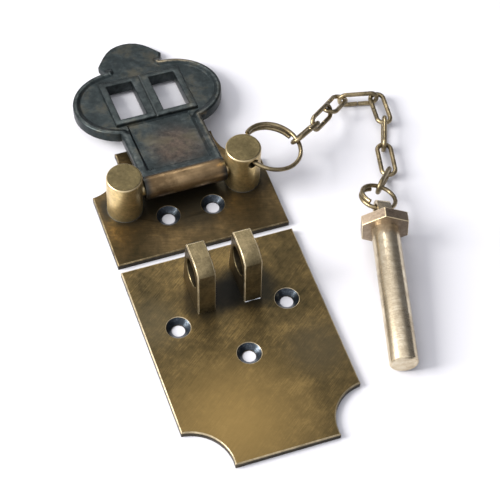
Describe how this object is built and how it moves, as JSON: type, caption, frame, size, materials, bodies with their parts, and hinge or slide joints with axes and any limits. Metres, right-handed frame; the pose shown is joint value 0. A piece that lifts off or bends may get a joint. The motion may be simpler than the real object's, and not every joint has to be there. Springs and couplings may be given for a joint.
{
  "type": "hasp and staple",
  "caption": "Brass hasp and staple: a hinged two-window flap drops over two bored lugs, and a locking pin on a chain goes through them.",
  "frame": {"origin": "on the back plane of both plates, on the centre line, directly below the hinge axis", "axes": "+X to the side of the chained post, +Y from the hinge to the tip of the open flap, +Z out of the plates' faces"},
  "size_m": [0.1196, 0.1912, 0.0255],
  "materials": {
    "plate_brass": "aged, brushed",
    "post_brass": "turned satin",
    "flap_patina": "dark patina, worn edges",
    "lug_brass": "satin",
    "chain_brass": "aged",
    "pin_brass": "satin",
    "collar_brass": "brushed"
  },
  "bodies": {
    "hasp": {"hasp_plate": "plate_brass", "left_post": "post_brass", "right_post": "post_brass", "hinge_pin": "post_brass"},
    "flap": {"hasp_flap": "flap_patina"},
    "staple": {"staple_plate": "plate_brass", "left_staple_lug": "lug_brass", "right_staple_lug": "lug_brass"},
    "large_ring": {"chain_ring": "chain_brass"},
    "link_1": {"chain_link_1": "chain_brass"},
    "link_2": {"chain_link_2": "chain_brass"},
    "link_3": {"chain_link_3": "chain_brass"},
    "link_4": {"chain_link_4": "chain_brass"},
    "link_5": {"chain_link_5": "chain_brass"},
    "link_6": {"chain_link_6": "chain_brass"},
    "link_7": {"chain_link_7": "chain_brass"},
    "link_8": {"chain_link_8": "chain_brass"},
    "small_ring": {"pin_ring": "chain_brass"},
    "pin": {"locking_pin": "pin_brass", "pin_collar": "collar_brass"}
  },
  "joints": [
    {"name": "flap_hinge", "type": "hinge", "parent": "hasp", "child": "flap", "pos_m": [0, 0, 0.0114], "axis": [1, 0, 0], "range_deg": [0, 193.4]},
    {"name": "staple_slide", "type": "slide", "parent": "hasp", "child": "staple", "axis": [0, 1, 0], "range_m": [-0.02, 0]},
    {"name": "ring_turn", "type": "hinge", "parent": "hasp", "child": "large_ring", "pos_m": [0.0244, 0, 0.0178], "axis": [0, -1, 0], "range_deg": [-30, 75]},
    {"name": "link_1_turn", "type": "hinge", "parent": "large_ring", "child": "link_1", "pos_m": [0.04437, 0.00074, 0.0147], "axis": [0.0682, -0.9976, -0.0145], "range_deg": [-10, 90]},
    {"name": "link_2_turn", "type": "hinge", "parent": "link_1", "child": "link_2", "pos_m": [0.05427, 0.00857, 0.01248], "axis": [-0.4723, 0.3706, -0.7997], "range_deg": [-90, 0]},
    {"name": "link_3_turn", "type": "hinge", "parent": "link_2", "child": "link_3", "pos_m": [0.0631, 0.01648, 0.00861], "axis": [-0.1296, 0.5487, 0.8259], "range_deg": [0, 30]},
    {"name": "link_4_turn", "type": "hinge", "parent": "link_3", "child": "link_4", "pos_m": [0.07108, 0.02453, 0.00345], "axis": [-0.7329, 0.6756, -0.0797], "range_deg": [0, 45]},
    {"name": "link_5_turn", "type": "hinge", "parent": "link_4", "child": "link_5", "pos_m": [0.08379, 0.02014, 0.00359], "axis": [0.0186, 0.0852, 0.9962], "range_deg": [0, 90]},
    {"name": "link_6_turn", "type": "hinge", "parent": "link_5", "child": "link_6", "pos_m": [0.08259, 0.00774, 0.00343], "axis": [-0.9948, 0.0958, 0.0349], "range_deg": [-75, 75]},
    {"name": "link_7_turn", "type": "hinge", "parent": "link_6", "child": "link_7", "pos_m": [0.07746, -0.0037, 0.00345], "axis": [-0.0324, 0.013, -0.9994], "range_deg": [-90, 0]},
    {"name": "link_8_turn", "type": "hinge", "parent": "link_7", "child": "link_8", "pos_m": [0.075, -0.0159, 0.00346], "axis": [0.9803, -0.1977, 0], "range_deg": [-75, 45]},
    {"name": "pin_ring_turn", "type": "hinge", "parent": "link_8", "child": "small_ring", "pos_m": [0.06684, -0.02424, 0.00844], "axis": [0.3038, 0.2515, 0.9189], "range_deg": [-45, 90]},
    {"name": "pin_turn", "type": "hinge", "parent": "small_ring", "child": "pin", "pos_m": [0.0641, -0.03438, 0.0105], "axis": [0.9424, -0.2128, -0.2579], "range_deg": [-75, 75]}
  ]
}
